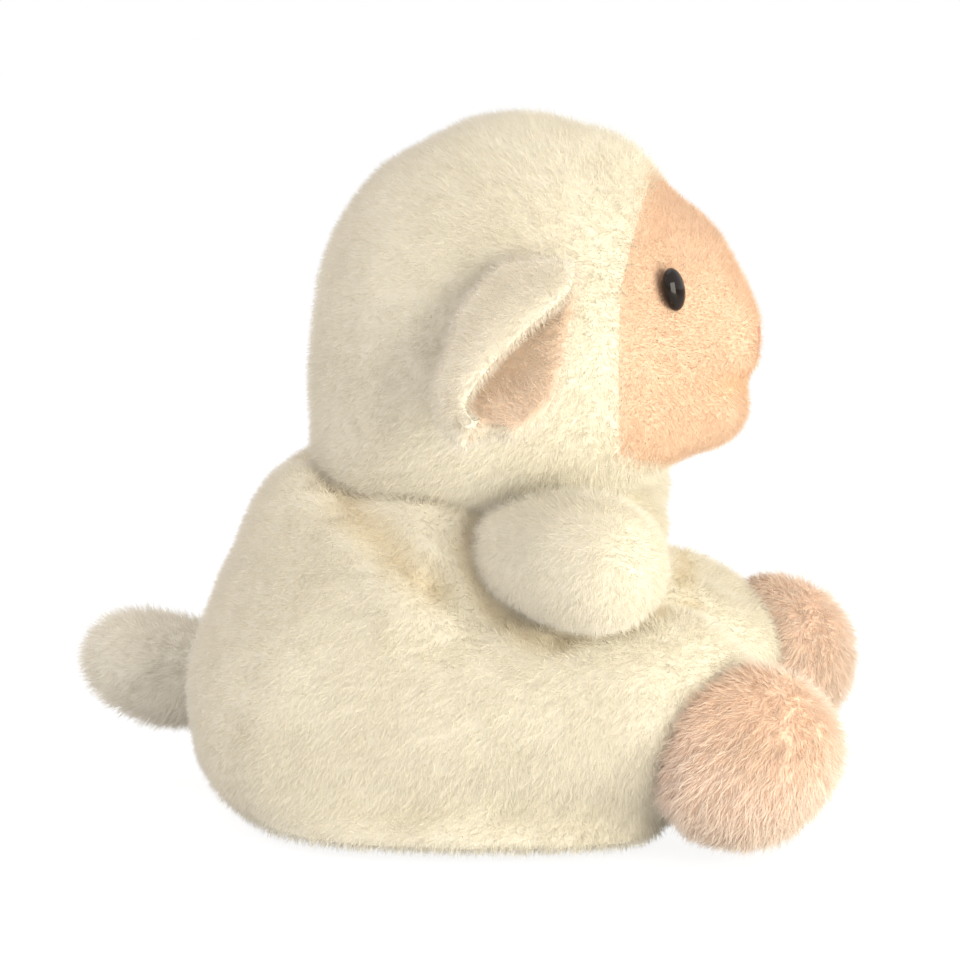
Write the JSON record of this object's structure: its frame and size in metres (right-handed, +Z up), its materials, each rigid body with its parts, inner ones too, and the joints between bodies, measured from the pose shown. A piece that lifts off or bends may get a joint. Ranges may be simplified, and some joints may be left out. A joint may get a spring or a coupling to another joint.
{
  "type": "plush sheep",
  "caption": "Sitting palm-size soft toy sheep with cream pile, peach face and feet, jointed head, ears, arms, legs and tail.",
  "frame": {"origin": "middle of the flat base that the toy sits on", "axes": "+Z up, -Y towards the face and feet, +X towards the sheep's own left"},
  "size_m": [0.1198, 0.1442, 0.1265],
  "materials": {
    "cream_pile": "matte",
    "peach_pile": "matte",
    "stuffing": "matte",
    "pouch_cloth": "matte",
    "eye_plastic": "gloss",
    "washer_plastic": "matte",
    "stitch_thread": "matte"
  },
  "bodies": {
    "body": {"base_panel": "cream_pile", "belly_panel": "cream_pile", "body_side_left": "cream_pile", "body_side_right": "cream_pile", "bean_pouch": "pouch_cloth", "body_stuffing": "stuffing"},
    "neck": {"neck_stuffing": "stuffing"},
    "head": {"head_gusset": "cream_pile", "head_side_left": "cream_pile", "head_side_right": "cream_pile", "face_left": "peach_pile", "face_right": "peach_pile", "head_stuffing": "stuffing", "nose_stitching": "stitch_thread", "mouth_stitching": "stitch_thread", "eye_left": "eye_plastic", "eye_right": "eye_plastic", "eye_washer_left": "washer_plastic", "eye_washer_right": "washer_plastic"},
    "ear_left": {"ear_lining_left": "peach_pile", "ear_outer_left": "cream_pile"},
    "ear_right": {"ear_lining_right": "peach_pile", "ear_outer_right": "cream_pile"},
    "arm_left": {"arm_top_left": "cream_pile", "arm_palm_left": "cream_pile", "arm_stuffing_left": "stuffing"},
    "arm_right": {"arm_top_right": "cream_pile", "arm_palm_right": "cream_pile", "arm_stuffing_right": "stuffing"},
    "leg_left": {"leg_top_left": "cream_pile", "leg_under_left": "cream_pile", "leg_stuffing_left": "stuffing", "foot_outer_left": "peach_pile", "foot_inner_left": "peach_pile", "foot_stuffing_left": "stuffing"},
    "leg_right": {"leg_top_right": "cream_pile", "leg_under_right": "cream_pile", "leg_stuffing_right": "stuffing", "foot_outer_right": "peach_pile", "foot_inner_right": "peach_pile", "foot_stuffing_right": "stuffing"},
    "tail": {"tail_left": "cream_pile", "tail_right": "cream_pile", "tail_stuffing": "stuffing"}
  },
  "joints": [
    {"name": "head_turn", "type": "hinge", "parent": "body", "child": "neck", "pos_m": [0, -0.008, 0.058], "axis": [0, 0, 1], "range_deg": [-12, 12], "stiffness_Nm_per_rad": 0.3},
    {"name": "head_nod", "type": "hinge", "parent": "neck", "child": "head", "pos_m": [0, -0.008, 0.058], "axis": [1, 0, 0], "range_deg": [-8, 5], "stiffness_Nm_per_rad": 0.4},
    {"name": "ear_left_flop", "type": "hinge", "parent": "head", "child": "ear_left", "pos_m": [0.0378, -0.023, 0.099], "axis": [0, -1, 0], "range_deg": [0, 20], "stiffness_Nm_per_rad": 0.005},
    {"name": "ear_right_flop", "type": "hinge", "parent": "head", "child": "ear_right", "pos_m": [-0.0378, -0.023, 0.099], "axis": [0, 1, 0], "range_deg": [0, 20], "stiffness_Nm_per_rad": 0.005},
    {"name": "arm_left_raise", "type": "hinge", "parent": "body", "child": "arm_left", "pos_m": [0.031, -0.017, 0.0505], "axis": [-0.5026, -0.8645, 0], "range_deg": [-2, 20], "stiffness_Nm_per_rad": 0.04},
    {"name": "arm_right_raise", "type": "hinge", "parent": "body", "child": "arm_right", "pos_m": [-0.031, -0.017, 0.0505], "axis": [-0.6919, 0.722, 0], "range_deg": [-2, 20], "stiffness_Nm_per_rad": 0.04},
    {"name": "leg_left_lift", "type": "hinge", "parent": "body", "child": "leg_left", "pos_m": [0.0255, -0.017, 0.023], "axis": [-1, 0, 0], "range_deg": [0, 5], "stiffness_Nm_per_rad": 0.2},
    {"name": "leg_right_lift", "type": "hinge", "parent": "body", "child": "leg_right", "pos_m": [-0.0255, -0.017, 0.023], "axis": [-1, 0, 0], "range_deg": [0, 5], "stiffness_Nm_per_rad": 0.2},
    {"name": "tail_wag", "type": "hinge", "parent": "body", "child": "tail", "pos_m": [0, 0.0455, 0.021], "axis": [0, 0, 1], "range_deg": [-15, 15], "stiffness_Nm_per_rad": 0.02}
  ]
}
